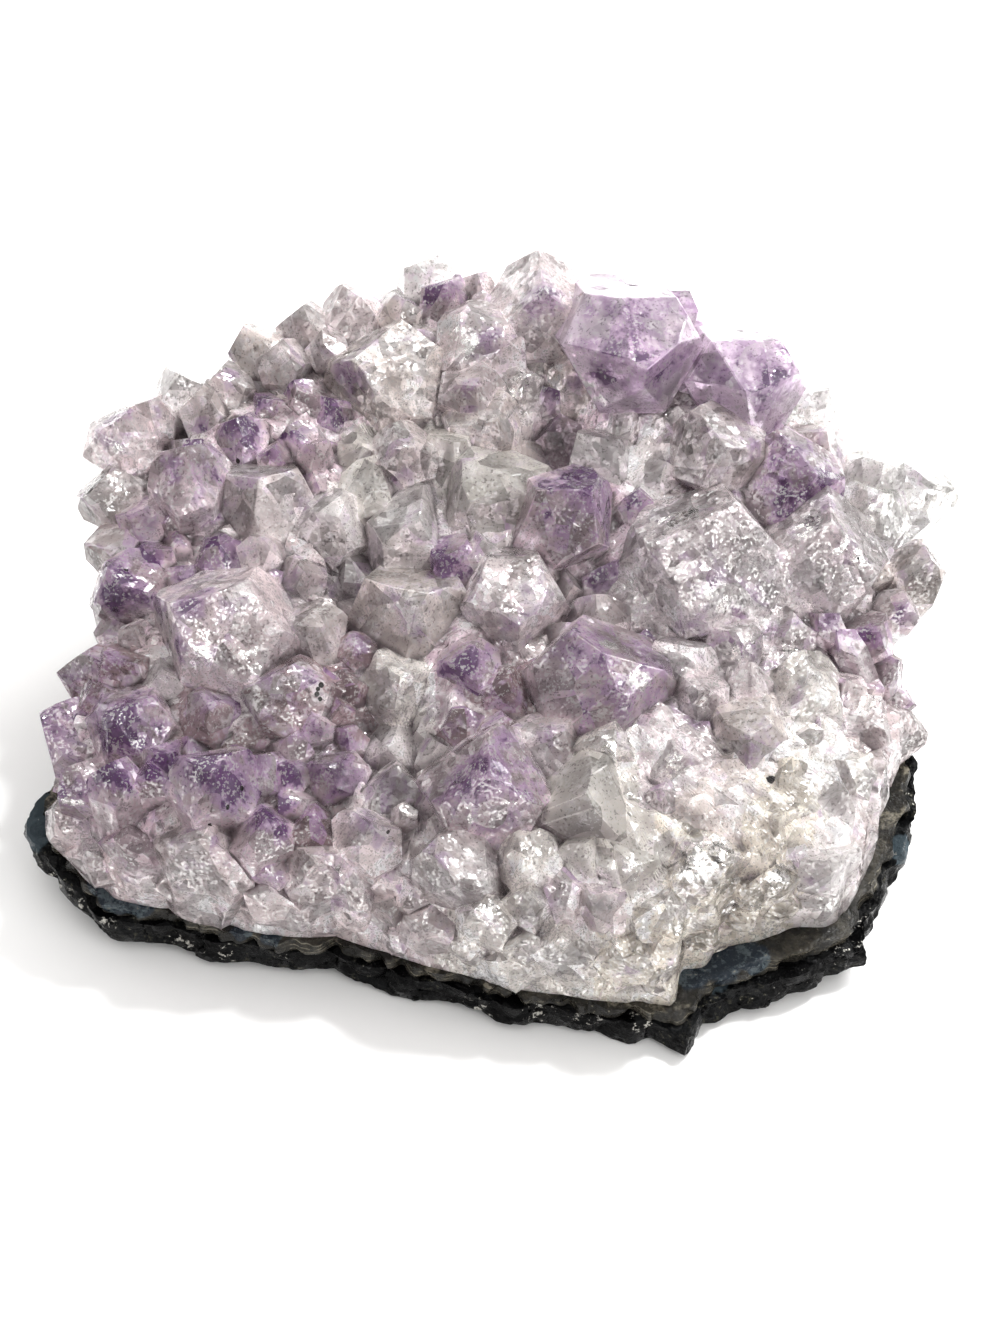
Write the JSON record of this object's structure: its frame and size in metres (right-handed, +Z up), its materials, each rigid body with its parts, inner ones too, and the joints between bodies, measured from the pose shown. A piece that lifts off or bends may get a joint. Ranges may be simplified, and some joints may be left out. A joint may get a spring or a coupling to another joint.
{
  "type": "amethyst cluster",
  "caption": "Loose piece of geode wall: amethyst crystals grown together from a bed of milky quartz, on a thin band of agate and a dark rock rind, for display on a flat surface.",
  "frame": {"origin": "under the middle of the piece, on the surface it rests on", "axes": "+X to the right of the picture's view, along the longest side; +Y to the back, where the large crystals stand; +Z up, out of the geode's wall"},
  "size_m": [0.1028, 0.0854, 0.0451],
  "materials": {
    "quartz": "natural crystal faces, clear to milky, purple towards the tips",
    "agate": "broken, waxy to glossy",
    "basalt": "broken, rough with glossy facets"
  },
  "bodies": {
    "root": {"quartz_crust": "quartz", "agate_band": "agate", "basalt_rind": "basalt"}
  },
  "joints": []
}
